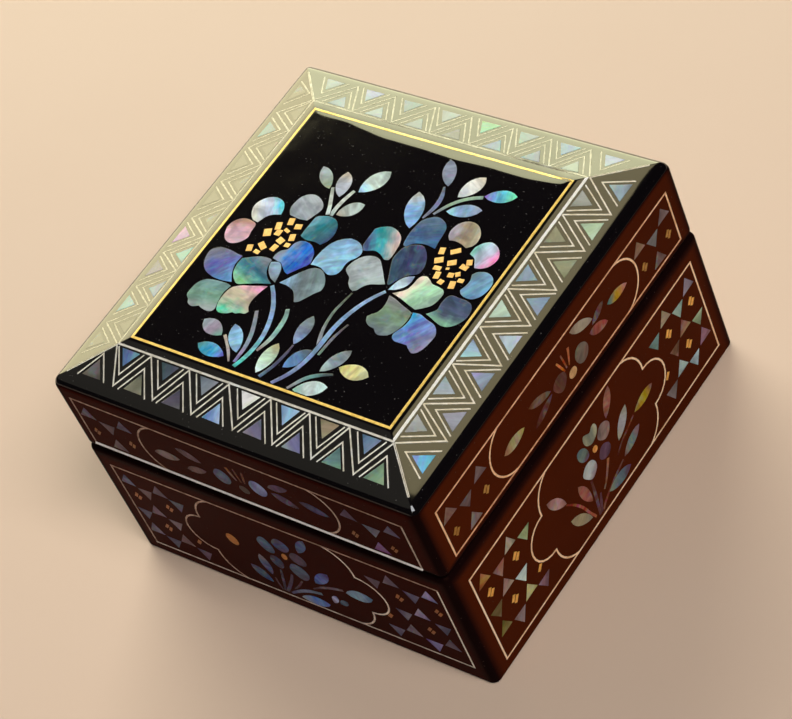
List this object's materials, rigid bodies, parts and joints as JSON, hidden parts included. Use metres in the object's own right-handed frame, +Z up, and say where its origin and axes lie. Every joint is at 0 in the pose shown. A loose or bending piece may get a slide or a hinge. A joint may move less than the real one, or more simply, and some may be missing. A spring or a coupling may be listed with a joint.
{
  "type": "inlaid wooden box",
  "caption": "Square lacquered wooden box with a lift-off lid on an inner collar, bevelled top, and cut shell and gold inlay on the top, bevels and sides.",
  "frame": {"origin": "middle of the underside", "axes": "+Z up through the lid, front face towards -Y, right face towards +X"},
  "size_m": [0.1, 0.1, 0.0633],
  "materials": {
    "lacquered_wood": "polished black lacquer",
    "abalone_shell": "polished iridescent shell",
    "pale_shell": "polished pale shell",
    "gold": "polished gold",
    "felt": "red felt"
  },
  "bodies": {
    "base": {"base_front_wall": "lacquered_wood", "base_right_wall": "lacquered_wood", "base_back_wall": "lacquered_wood", "base_left_wall": "lacquered_wood", "base_bottom_board": "lacquered_wood", "liner_front": "lacquered_wood", "liner_right": "lacquered_wood", "liner_back": "lacquered_wood", "liner_left": "lacquered_wood", "floor_felt": "felt", "base_frame_lines": "pale_shell", "base_cartouche_lines": "pale_shell", "base_lattice_triangles": "abalone_shell", "base_lattice_gold": "gold", "base_spray_petals": "abalone_shell", "base_spray_leaves": "abalone_shell", "base_spray_stems": "abalone_shell", "base_spray_gold": "gold"},
    "lid": {"lid_front_rail": "lacquered_wood", "lid_right_rail": "lacquered_wood", "lid_back_rail": "lacquered_wood", "lid_left_rail": "lacquered_wood", "lid_top_board": "lacquered_wood", "lid_felt": "felt", "top_gold_line": "gold", "left_flower_petals": "abalone_shell", "right_flower_petals": "abalone_shell", "top_buds": "abalone_shell", "top_leaves": "abalone_shell", "top_stems": "abalone_shell", "left_flower_gold": "gold", "right_flower_gold": "gold", "top_pearl_line": "pale_shell", "mitre_lines": "pale_shell", "bevel_zigzag_lines": "pale_shell", "bevel_outer_triangles": "abalone_shell", "bevel_inner_triangles": "abalone_shell", "lid_frame_lines": "pale_shell", "lid_cartouche_lines": "pale_shell", "lid_lattice_triangles": "abalone_shell", "lid_lattice_gold": "gold", "lid_spray_petals": "abalone_shell", "lid_spray_leaves": "abalone_shell", "lid_spray_stems": "abalone_shell", "lid_spray_gold": "gold"}
  },
  "joints": [
    {"name": "lid_lift", "type": "slide", "parent": "base", "child": "lid", "axis": [0, 0, 1], "range_m": [0, 0.06]}
  ]
}
